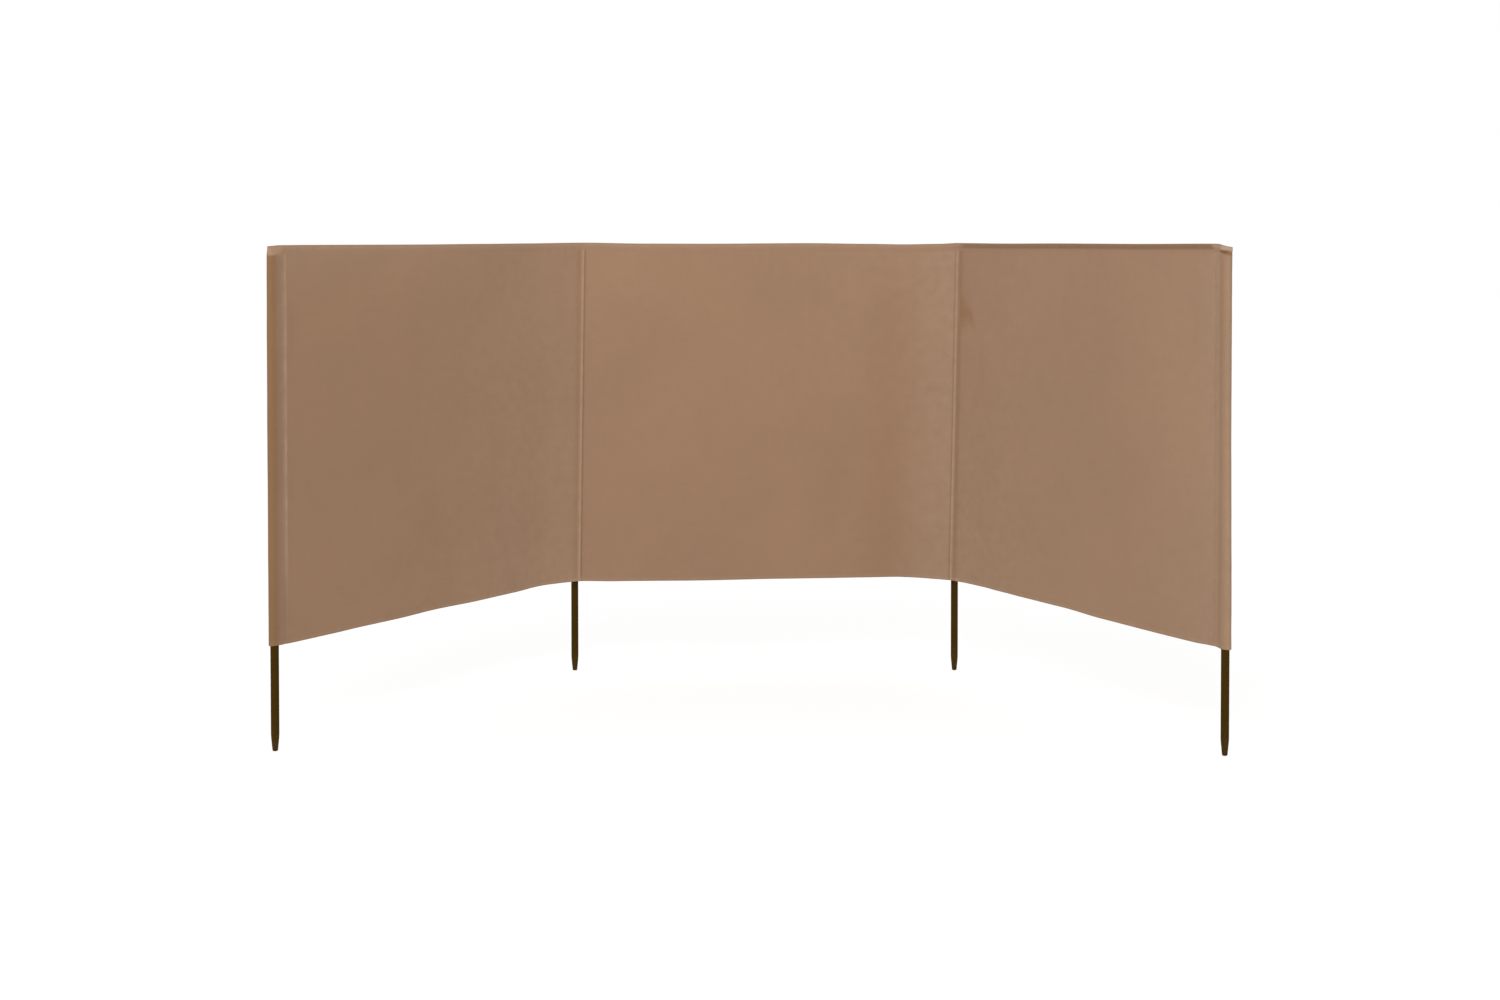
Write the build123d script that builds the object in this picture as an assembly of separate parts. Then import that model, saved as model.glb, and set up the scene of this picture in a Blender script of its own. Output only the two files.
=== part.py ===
from build123d import *
import math
import os

# Fabric windbreak in three bays on four round poles, in millimetres.
# The front faces -Y, +Z is up, and the origin is the flat end of the left inner pole's tip.

# cloth screen
bay_length = 1333.0
cloth_height = 1200.0
cloth_thickness = 1.0
left_wing_angle = 53.0
right_wing_angle = 57.0

# bow of each bay towards the rear, and where along the bay it is deepest
left_bow = 38.0
left_bow_share = 0.82
middle_bow = 60.0
middle_bow_share = 0.82
right_bow = 12.0
right_bow_share = 0.45

# hems
top_hem_depth = 22.0
bottom_hem_depth = 16.0
hem_thickness = 3.0
hem_edge_radius = 1.2

# poles
pole_diameter = 25.0
pole_wall = 1.0
pole_exposed_length = 320.0
tip_length = 45.0
tip_diameter = 16.0
tip_edge_radius = 2.5
tip_shoulder_radius = 60.0

# sleeves, the tunnels that take the poles
sleeve_clearance = 0.3
end_sleeve_tail = 50.0
end_sleeve_drop = 1.5
sleeve_lap = 8.0
sleeve_top_height = 26.0
sleeve_top_thickness = 4.0
sleeve_top_slope = 6.0
flap_width = 14.0

# stitched ridge where two bays meet in front of an inner pole
seam_diameter = 6.0
seam_setback = 32.0
left_tail_angle = 26.5
right_tail_angle = 14.0
seat_clearance = 0.2

# heights
cloth_bottom = pole_exposed_length
cloth_top = cloth_bottom + cloth_height
sleeve_ring_top = cloth_top - sleeve_top_height
pole_top = sleeve_ring_top - sleeve_clearance

# sections
pole_radius = pole_diameter / 2
sleeve_bore_radius = pole_radius + sleeve_clearance
sleeve_radius = sleeve_bore_radius + cloth_thickness
seam_radius = seam_diameter / 2
tail_half_width = cloth_thickness
inner_sleeve_tail = seam_setback - seam_radius - seat_clearance


def heading(degrees):
    return Vector(math.cos(math.radians(degrees)), math.sin(math.radians(degrees)))


# plan of the poles and seams, from left to right
left_seam_heading = left_tail_angle - 90
right_seam_heading = -90 - right_tail_angle
left_inner_axis = Vector(0, 0)
left_seam_axis = left_inner_axis + heading(left_seam_heading) * seam_setback
right_seam_axis = left_seam_axis + Vector(bay_length, 0)
right_inner_axis = right_seam_axis - heading(right_seam_heading) * seam_setback
wing_length = bay_length - sleeve_radius
left_end_axis = left_seam_axis + heading(180 + left_wing_angle) * wing_length
right_end_axis = right_seam_axis + heading(-right_wing_angle) * wing_length


def bowed_path(start, end, bow, bow_share):
    """Two tangent arcs from start to end, deepest to the rear at bow_share of the chord."""
    chord = end - start
    along = chord.normalized()
    deepest = start + chord * bow_share + along.rotate(Axis.Z, 90) * bow
    first = TangentArc(deepest, start, tangent=-along)
    second = TangentArc(deepest, end, tangent=along)
    return Wire([Edge.make_three_point_arc(start, first @ 0.5, deepest), second.edge()])


left_path = bowed_path(left_end_axis, left_seam_axis, left_bow, left_bow_share)
middle_path = bowed_path(left_seam_axis, right_seam_axis, middle_bow, middle_bow_share)
right_path = bowed_path(right_seam_axis, right_end_axis, right_bow, right_bow_share)


def between(path, from_start, from_end):
    """The stretch of a path that leaves out a length at each end."""
    return path.trim(from_start / path.length, 1 - from_end / path.length)


# the cloth of each bay runs from the sleeve or seam at its left to the one at its right
sleeve_allowance = end_sleeve_tail + seat_clearance
seam_allowance = seam_radius + seat_clearance
bays = {
    "left": between(left_path, sleeve_allowance, seam_allowance),
    "middle": between(middle_path, seam_allowance, seam_allowance),
    "right": between(right_path, seam_allowance, sleeve_allowance),
}


def swept(profile, path):
    """Sweeps a profile, drawn as (to the rear, up), along a path in plan."""
    start = Plane(origin=path @ 0, x_dir=(path % 0).rotate(Axis.Z, 90), z_dir=path % 0)
    return sweep(start * profile, path=path)


def strip(path, low, high, thickness, rear_shift=0):
    profile = Pos(rear_shift, (low + high) / 2) * Rectangle(thickness, high - low)
    return swept(profile, path)


def panel(path):
    return strip(path, cloth_bottom + bottom_hem_depth, cloth_top - top_hem_depth, cloth_thickness)


def flap(path):
    """The cloth's cut edge, turned back behind the panel and sewn down."""
    return strip(
        path, cloth_bottom + bottom_hem_depth, cloth_top - top_hem_depth, cloth_thickness, cloth_thickness
    )


def hem(path, fold, edge):
    """The cloth's edge folded to the rear, from the fold to the cut edge, rounded along the fold."""
    rear_shift = (hem_thickness - cloth_thickness) / 2
    folded = strip(path, min(fold, edge), max(fold, edge), hem_thickness, rear_shift)
    long_edges = folded.edges().filter_by(lambda e: e.length > 2 * hem_thickness)
    along_fold = long_edges.group_by(lambda e: abs(e.center().Z - fold))[0]
    return fillet(along_fold, hem_edge_radius)


def tunnel_outline(radius, tail, half_width):
    """A teardrop round the pole's axis, with its tail along +X."""
    tail_angle = math.atan2(half_width, tail) + math.acos(radius / math.hypot(half_width, tail))
    touch_x = radius * math.cos(tail_angle)
    touch_y = radius * math.sin(tail_angle)
    tail_corners = [(tail, -half_width), (tail, half_width)] if half_width else [(tail, 0)]
    flanks = Polyline((touch_x, -touch_y), *tail_corners, (touch_x, touch_y))
    round_end = ThreePointArc((touch_x, touch_y), (-radius, 0), (touch_x, -touch_y))
    return make_face(flanks + round_end)


def tunnel_place(axis, tail_heading, height):
    return Pos(axis.X, axis.Y, height) * Rot(0, 0, tail_heading)


def sleeve(axis, tail_heading, tail, bottom):
    place = tunnel_place(axis, tail_heading, bottom)
    outside = tunnel_outline(sleeve_radius, tail, tail_half_width)
    inside = tunnel_outline(sleeve_bore_radius, tail - sleeve_lap, 0)
    return extrude(place * (outside - inside), sleeve_ring_top - bottom)


def sleeve_top(axis, tail_heading, tail):
    """The tunnel's end, pressed flat and sewn shut along a top edge that slopes down past the pole."""
    block = extrude(tunnel_outline(sleeve_radius, tail, tail_half_width), sleeve_top_height)
    pressed = Polyline(
        (-sleeve_radius, 0),
        (sleeve_radius, 0),
        (sleeve_top_thickness / 2, sleeve_top_height),
        (-sleeve_top_thickness / 2, sleeve_top_height),
        close=True,
    )
    sloped = Polyline(
        (-sleeve_radius, 0),
        (tail, 0),
        (tail, sleeve_top_height),
        (-sleeve_radius, sleeve_top_height - sleeve_top_slope),
        close=True,
    )
    block &= extrude(Plane.YZ * make_face(pressed), tail, both=True)
    block &= extrude(Plane.XZ * make_face(sloped), sleeve_radius, both=True)
    return tunnel_place(axis, tail_heading, sleeve_ring_top) * block


def seam(axis):
    place = Pos(axis.X, axis.Y, cloth_bottom + cloth_height / 2)
    return place * Cylinder(seam_radius, cloth_height)


def pole(axis):
    """A steel tube, swaged to a blunt tip at its lower end."""
    tip_edge = (tip_diameter / 2, 0)
    shoulder = (pole_radius, tip_length)
    profile = make_face(Polyline((0, 0), tip_edge, shoulder, (pole_radius, pole_top), (0, pole_top), close=True))
    profile = fillet(profile.vertices().sort_by_distance(tip_edge)[0], tip_edge_radius)
    profile = fillet(profile.vertices().sort_by_distance(shoulder)[0], tip_shoulder_radius)
    solid = revolve(Plane.XZ * profile, Axis.Z)
    bore_length = pole_top - tip_length
    bore = Pos(0, 0, tip_length + bore_length / 2) * Cylinder(pole_radius - pole_wall, bore_length)
    return Pos(axis.X, axis.Y) * (solid - bore)


# the sleeves: where each stands, which way its tail points, its tail and its lower end
left_end_heading = math.degrees(math.atan2((left_path % 0).Y, (left_path % 0).X))
right_end_heading = math.degrees(math.atan2(-(right_path % 1).Y, -(right_path % 1).X))
end_sleeve_bottom = cloth_bottom - end_sleeve_drop
sleeves = {
    "left_end": (left_end_axis, left_end_heading, end_sleeve_tail, end_sleeve_bottom),
    "left_inner": (left_inner_axis, left_seam_heading, inner_sleeve_tail, cloth_bottom),
    "right_inner": (right_inner_axis, right_seam_heading, inner_sleeve_tail, cloth_bottom),
    "right_end": (right_end_axis, right_end_heading, end_sleeve_tail, end_sleeve_bottom),
}

nodes = {}
for name, (axis, tail_heading, tail, bottom) in sleeves.items():
    nodes[f"{name}_pole"] = pole(axis)
    nodes[f"{name}_sleeve"] = sleeve(axis, tail_heading, tail, bottom)
    nodes[f"{name}_sleeve_top"] = sleeve_top(axis, tail_heading, tail)

nodes["left_seam"] = seam(left_seam_axis)
nodes["right_seam"] = seam(right_seam_axis)

for name, path in bays.items():
    nodes[f"{name}_panel"] = panel(path)
    nodes[f"{name}_top_hem"] = hem(path, cloth_top, cloth_top - top_hem_depth)
    nodes[f"{name}_bottom_hem"] = hem(path, cloth_bottom, cloth_bottom + bottom_hem_depth)

nodes["left_sleeve_flap"] = flap(between(bays["left"], 0, bays["left"].length - flap_width))
nodes["right_sleeve_flap"] = flap(between(bays["right"], bays["right"].length - flap_width, 0))

os.makedirs("parts", exist_ok=True)
for name, solid in nodes.items():
    export_step(solid, f"parts/{name}.step")
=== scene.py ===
import bpy
import math
import numpy as np
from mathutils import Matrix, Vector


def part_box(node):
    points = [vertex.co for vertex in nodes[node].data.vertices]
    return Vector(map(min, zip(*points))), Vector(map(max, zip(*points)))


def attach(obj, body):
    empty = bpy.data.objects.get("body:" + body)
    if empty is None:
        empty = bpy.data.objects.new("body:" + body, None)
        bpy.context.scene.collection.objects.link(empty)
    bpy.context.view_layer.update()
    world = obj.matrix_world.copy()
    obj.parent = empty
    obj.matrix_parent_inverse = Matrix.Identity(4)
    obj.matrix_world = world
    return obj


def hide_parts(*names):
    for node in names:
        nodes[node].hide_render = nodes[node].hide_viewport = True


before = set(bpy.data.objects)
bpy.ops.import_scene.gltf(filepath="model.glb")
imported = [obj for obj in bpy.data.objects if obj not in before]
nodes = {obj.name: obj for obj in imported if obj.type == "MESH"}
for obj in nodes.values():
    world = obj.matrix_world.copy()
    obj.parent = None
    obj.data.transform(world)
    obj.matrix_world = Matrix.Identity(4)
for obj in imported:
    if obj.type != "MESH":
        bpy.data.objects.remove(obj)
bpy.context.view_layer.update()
mm = 0.001
print("frame loaded:", len(nodes), "nodes")


# small helpers for the modelling below

def deselectAll():
    bpy.ops.object.select_all(action="DESELECT")


def pickOnly(piece):
    deselectAll()
    piece.select_set(True)
    bpy.context.view_layer.objects.active = piece


def applyModifier(piece, kind, **settings):
    pickOnly(piece)
    modifier = piece.modifiers.new(kind.lower(), kind)
    for name, value in settings.items():
        setattr(modifier, name, value)
    bpy.ops.object.modifier_apply(modifier=modifier.name)


def smoothStep(value, low, high):
    share = np.clip((value - low) / (high - low), 0, 1)
    return share * share * (3 - 2 * share)


def easedThrough(pairs, value):
    # eased line through (place, value) pairs
    places, values = np.array(pairs, float).T
    upper = np.clip(np.searchsorted(places, value), 1, len(places) - 1)
    part = smoothStep(value, places[upper - 1], places[upper])
    return values[upper - 1] * (1 - part) + values[upper] * part


def gradedSteps(length, fine, coarse, reach):
    # distances from 0 to length, close together at both ends
    marks = [0.0]
    while marks[-1] < length:
        toEnd = min(marks[-1], length - marks[-1])
        marks.append(marks[-1] + fine + (coarse - fine) * min(max(toEnd, 0) / reach, 1))
    return np.array(marks) * length / marks[-1]


def planAxis(node):
    low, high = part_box(node)
    return np.array([(low.x + high.x) / 2, (low.y + high.y) / 2])


# heights and plan places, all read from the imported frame
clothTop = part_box("middle_top_hem")[1].z
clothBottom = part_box("middle_bottom_hem")[0].z
clothHeight = clothTop - clothBottom
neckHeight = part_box("left_end_sleeve")[1].z
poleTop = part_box("left_inner_pole")[1].z
poleRadius = (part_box("left_inner_pole")[1].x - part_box("left_inner_pole")[0].x) / 2
panelThickness = 1.0 * mm
poleSides = ("left_end", "left_inner", "right_inner", "right_end")
poleAxes = {side: planAxis(f"{side}_pole") for side in poleSides}
seamAxes = {side: planAxis(f"{side}_seam") for side in ("left", "right")}


def bayLine(panelNode, start, end):
    # chord of a bay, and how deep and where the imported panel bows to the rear
    chord = end - start
    length = np.hypot(*chord)
    direction = chord / length
    rear = np.array([-direction[1], direction[0]])
    points = np.array([vertex.co[:2] for vertex in nodes[panelNode].data.vertices]) - start
    depths = points @ rear - panelThickness / 2
    deepest = depths.argmax()
    return {
        "start": start,
        "direction": direction,
        "rear": rear,
        "length": length,
        "bow": depths[deepest],
        "deepest": points[deepest] @ direction,
    }


def bowAt(line, along):
    bow = line["bow"]
    reach = np.where(along < line["deepest"], line["deepest"], line["length"] - line["deepest"])
    radius = (reach ** 2 + bow ** 2) / (2 * bow)
    return bow - radius + np.sqrt(radius ** 2 - (along - line["deepest"]) ** 2)


lines = {
    "left": bayLine("left_panel", poleAxes["left_end"], seamAxes["left"]),
    "middle": bayLine("middle_panel", seamAxes["left"], seamAxes["right"]),
    "right": bayLine("right_panel", seamAxes["right"], poleAxes["right_end"]),
}

# the two seams lean a little: sideways shift at the lower and upper edge of the cloth
seamLean = {
    "left": {"bottom": 6 * mm, "top": 24 * mm},
    "right": {"bottom": -8.5 * mm, "top": 15 * mm},
}


def leanAt(side, z):
    lean = seamLean[side]
    return lean["bottom"] + (lean["top"] - lean["bottom"]) * (z - clothBottom) / clothHeight


# the cloth's hems in section, from the turned-under edge: (from the fold, to the rear), in mm
hem = {
    "section": [
        (10.0, 1.2), (14.0, 1.15), (18.0, 1.2), (20.8, 1.25), (21.8, 1.8), (20.8, 2.35), (18.0, 2.3),
        (14.0, 2.5), (10.0, 2.7), (6.0, 2.9), (2.2, 2.75), (0.6, 2.1), (0.0, 1.3), (0.6, 0.5), (2.2, 0.0),
        (6.0, -0.2), (10.0, -0.18), (14.0, -0.1), (18.0, 0.12), (20.8, 0.0)],
    "topDepth": 22 * mm,
    "bottomDepth": 16 * mm,
    "drawnDepth": 22 * mm,
    "rearStitch": 6,      # rows of the section that carry the stitches, and the row of the fold
    "fold": 12,
    "frontStitch": 18,
    "leanFrom": 19 * mm,  # the upper hem leans above this line
}
clothThickness = 0.8 * mm
rowSpacing = (0.0028, 0.0105, 0.1)   # fine, coarse and reach, as shares of the open height
panelRows = gradedSteps(1.0, *rowSpacing)[1:-1]


def hemRows(depth):
    section = np.array(hem["section"]) * mm
    section[:, 0] *= depth / hem["drawnDepth"]
    return section


topRows = hemRows(hem["topDepth"])
bottomRows = hemRows(hem["bottomDepth"])[::-1]
rowCount = len(topRows) + len(panelRows) + len(bottomRows)
rowRear = np.concatenate([topRows[:, 1], np.zeros(len(panelRows)), bottomRows[:, 1]])


def rowHeights(topEdge, bottomEdge):
    # height of every row of the cloth in every column
    upper = topEdge[None, :] - topRows[:, 0][:, None]
    lower = bottomEdge[None, :] + bottomRows[:, 0][:, None]
    share = panelRows[:, None]
    between = upper[-1] * (1 - share) + lower[0] * share
    return np.vstack([upper, between, lower])


def ringPlaces(rings, columns, z):
    # a soft line through each ring's places, blended between the rings' heights
    heights = np.array([ring[0] for ring in rings])
    places = np.array([ring[1] for ring in rings], float) * mm
    before = 2 * places[:, :1] - places[:, 1:2]
    after = 2 * places[:, -1:] - places[:, -2:-1]
    places = np.concatenate([before, places, after], axis=1)
    upper = np.clip(np.searchsorted(heights, z), 1, len(heights) - 1)
    part = smoothStep(z, heights[upper - 1], heights[upper])[..., None]
    span = np.minimum(columns.astype(int), places.shape[1] - 4)
    along = (columns - span)[:, None]
    first, second, third, fourth = [
        places[upper - 1, span + step] * (1 - part) + places[upper, span + step] * part for step in range(4)]
    bend = (2 * first - 5 * second + 4 * third - fourth) * along ** 2
    bend = bend + (3 * second - first - 3 * third + fourth) * along ** 3
    return (2 * second + (third - first) * along + bend) / 2


def longWaves(rng, count, shortest, longest):
    # a smooth uneven field: long waves in all directions
    waves = rng.uniform(shortest, longest, count)
    angles = rng.uniform(0, 2 * math.pi, count)
    phases = rng.uniform(0, 2 * math.pi, count)

    def field(x, y):
        total = 0
        for wave, angle, phase in zip(waves, angles, phases):
            place = x * math.cos(angle) + y * math.sin(angle)
            total = total + np.sin(2 * math.pi * place / wave + phase)
        return total / math.sqrt(count)

    return field


def stitchRipple(rng, length, shortest, longest):
    # an uneven ripple along a row of stitches
    lowest = 0.35
    marks = np.cumsum(rng.uniform(shortest, longest, int(length / shortest) + 2))
    heights = rng.uniform(lowest, 1.0, len(marks))

    def ripple(place):
        turn = np.interp(place, marks, np.arange(len(marks)))
        return np.sin(2 * math.pi * turn) * np.interp(place, marks, heights)

    return ripple


def foldDepth(folds, along, up):
    # soft folds: (along, up, tilt in degrees, half length, half width, mm to the rear)
    total = np.zeros_like(along)
    for place, height, tilt, halfLength, halfWidth, depth in folds:
        lean = math.radians(tilt)
        lengthwise = (along - place) * math.cos(lean) + (up - height) * math.sin(lean)
        across = (up - height) * math.cos(lean) - (along - place) * math.sin(lean)
        total += depth * mm * np.exp(-((lengthwise / halfLength) ** 2) - (across / halfWidth) ** 2)
    return total


# the end sleeves: rings of (along the bay from the pole's axis, to the rear), in mm, by height
flapOut = 4.8   # the turned edge stands this far behind the panel where it crosses the hems
leftSleeve = {
    "rings": [
        (clothBottom - 10 * mm, [
            (64, flapOut), (57, flapOut), (47, 4.4), (38, 6.0), (26, 10.6), (12, 15.0), (0, 16.4),
            (-11, 13.0), (-17.8, 5), (-18.8, -3), (-14.4, -11.2), (-4, -15.8), (8, -15.4), (22, -10.4),
            (36, -3.9), (46, -0.4), (56, 0)]),
        (clothBottom + 45 * mm, [
            (64, 1.3), (57, 1.1), (47, 1.2), (38, 3.6), (26, 9.2), (12, 14.4), (0, 16.0), (-11, 12.8),
            (-17.8, 5), (-18.8, -3), (-14.4, -11), (-4, -15.6), (8, -15.0), (22, -9.8), (36, -3.6),
            (46, -0.4), (56, 0)]),
        (clothBottom + 0.62 * clothHeight, [
            (64, 1.3), (57, 1.1), (47, 1.2), (38, 3.2), (26, 8.6), (12, 14.0), (0, 16.0), (-11, 12.8),
            (-17.2, 5.5), (-18.0, -3), (-14.4, -11.2), (-5, -15.8), (8, -14.6), (22, -9.2), (36, -3.4),
            (46, -0.4), (56, 0)]),
        (neckHeight - 70 * mm, [
            (64, 1.3), (57, 1.1), (47, 1.2), (38, 3.4), (26, 9.0), (12, 14.0), (0, 15.6), (-10.6, 12.2),
            (-16.4, 5), (-17.2, -3), (-13.6, -10.8), (-4, -15.2), (8, -14.4), (22, -9.2), (36, -3.4),
            (46, -0.4), (56, 0)]),
        (neckHeight - 3 * mm, [
            (64, flapOut), (57, flapOut), (47, 4.6), (38, 5.6), (26, 9.4), (12, 13.8), (0, 15.2),
            (-10.4, 11.8), (-15.8, 5), (-16.6, -3), (-13, -10.4), (-4, -14.8), (8, -14.2), (22, -9.4),
            (36, -3.6), (46, -0.4), (56, 0)]),
        (clothTop - 4 * mm, [
            (64, flapOut), (57, flapOut), (47, 4.7), (38, 4.6), (25, 4.0), (11, 3.2), (-3, 2.6),
            (-11.6, 2.4), (-16.6, 1.8), (-17.4, -1.0), (-13.0, -2.3), (-5, -2.3), (8, -2.1), (22, -1.6),
            (36, -0.9), (46, -0.4), (56, 0)]),
        (clothTop + 3 * mm, [
            (64, flapOut), (57, flapOut), (47, 4.4), (38, 3.6), (25, 2.4), (11, 1.6), (-3, 1.2),
            (-11.6, 1.2), (-16.6, 1.0), (-17.4, -0.6), (-13.0, -1.2), (-5, -1.2), (8, -1.1), (22, -1.0),
            (36, -0.7), (46, -0.4), (56, 0)]),
    ],
    "topSlope": 3 * mm,
    "slopeFrom": 34 * mm,
    "bottomShift": [(-20, 4.6), (-12, 5.7), (6, 5.5), (24, 3.4), (38, 1.5), (54, 0)],
    "outermost": 18 * mm,
    "front": 15,         # ring places: the sewn line in front, the tight turn past the pole, the stitches
    "turn": 8.5,
    "stitches": (15, 15.6, 2, 1.2),
}
rightSleeve = {
    "rings": [
        (clothBottom - 10 * mm, [
            (60, 0), (51, -0.7), (42, -3.4), (32, -6.8), (23, -9.2), (16, -11.4), (9, -14.0), (0, -15.6),
            (-9, -13.6), (-18.0, -7), (-19.6, 2.5), (-13, 12.0), (0, 16.2), (13, 14.4), (27, 9.8),
            (40, 5.6), (51, 4.6), (58, flapOut), (65, flapOut)]),
        (clothBottom + 60 * mm, [
            (60, 0), (51, -0.7), (43, -3.4), (33, -6.6), (24, -8.2), (17, -10.0), (10, -12.6), (0.5, -14.6),
            (-9, -13.0), (-17.4, -6.8), (-19.0, 2.5), (-12.6, 11.6), (0, 15.6), (13, 13.6), (27, 8.4),
            (40, 3.0), (51, 1.0), (58, 1.1), (65, 1.3)]),
        (clothBottom + 0.6 * clothHeight, [
            (60, 0), (51, -0.7), (43, -3.4), (33, -6.4), (24, -7.8), (17, -9.2), (10.5, -11.6), (1, -13.8),
            (-7.9, -11.8), (-12.8, -6.3), (-13.8, 2.2), (-9.8, 10.0), (0, 14.2), (13, 12.6), (27, 8.0),
            (40, 3.0), (51, 1.0), (58, 1.1), (65, 1.3)]),
        (neckHeight - 60 * mm, [
            (60, 0), (51, -0.7), (43, -3.4), (33, -6.4), (24, -7.8), (17, -9.4), (10, -11.8), (0.5, -13.8),
            (-7.9, -11.7), (-12.7, -6.2), (-13.7, 2.2), (-9.8, 10.0), (0, 14.1), (13, 12.6), (27, 8.0),
            (40, 3.0), (51, 1.0), (58, 1.1), (65, 1.3)]),
        (neckHeight - 0.8 * mm, [
            (60, 0), (51, -0.6), (42, -3.2), (32, -6.2), (23, -8.2), (16, -10.0), (9, -12.4), (0, -13.8),
            (-8.6, -11.6), (-13.4, -5.8), (-14.4, 2.4), (-10.4, 10.0), (0, 14.0), (13, 12.8), (27, 9.0),
            (40, 5.4), (51, 4.6), (58, flapOut), (65, flapOut)]),
        (clothTop - 19.5 * mm, [
            (60, 0), (51, -0.4), (42, -1.3), (32, -2.2), (23, -2.9), (16, -3.4), (9, -3.8), (0, -4.0),
            (-9, -3.8), (-15.8, -3.0), (-17.0, 2.2), (-12, 7.0), (0, 9.0), (13, 8.6), (27, 6.8), (40, 5.2),
            (51, 4.6), (58, flapOut), (65, flapOut)]),
        (clothTop - 12.5 * mm, [
            (60, 0), (51, -0.4), (42, -1.6), (32, -4.0), (23, -7.0), (16, -9.2), (8, -10.4), (-1, -10.4),
            (-10, -9.0), (-17.6, -4.8), (-19.4, 1.6), (-13.6, 4.6), (-2, 5.6), (12, 5.6), (26, 5.2),
            (39, 4.8), (51, 4.7), (58, flapOut), (65, flapOut)]),
        (clothTop - 5 * mm, [
            (60, 0), (51, -0.4), (42, -0.9), (32, -1.6), (23, -2.5), (15, -3.2), (6, -3.6), (-5, -3.6),
            (-13.6, -3.0), (-19.4, -1.6), (-20.4, 1.2), (-15.4, 2.5), (-3, 2.8), (12, 3.3), (26, 4.0),
            (39, 4.6), (51, 4.7), (58, flapOut), (65, flapOut)]),
        (clothTop + 3 * mm, [
            (60, 0), (51, -0.4), (42, -0.6), (32, -0.8), (23, -1.0), (15, -1.1), (6, -1.2), (-5, -1.2),
            (-13.6, -1.2), (-19.4, -0.9), (-20.4, 0.8), (-15.4, 1.3), (-3, 1.4), (12, 1.8), (26, 2.6),
            (39, 3.8), (51, 4.4), (58, flapOut), (65, flapOut)]),
    ],
    "topSlope": 10 * mm,
    "slopeFrom": 52 * mm,
    "bottomShift": [(-20, 0.4), (-10, 1.5), (6, 1.6), (16, 2.2), (36, 2.3), (60, 0)],
    "outermost": 20.5 * mm,
    "front": 1,
    "turn": 9.7,
    "stitches": (1, 0.4, 16, 17),
}
# shared by all sleeves; reaches are in ring places unless in mm
sleeveGrid = {
    "perSpan": 4,
    "hemShare": 0.55,
    "turnShare": 0.12,
    "joinReach": 1.2,
    "tightReach": (3.0, 1.2),
    "crumple": 0.33 * mm,
    "crumpleStretch": 2.2,
    "loose": (2 * mm, 6 * mm),   # cloth this far off the bay's line crumples
    "closedOver": 14 * mm,       # a sloped top presses shut over this height
}

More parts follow.
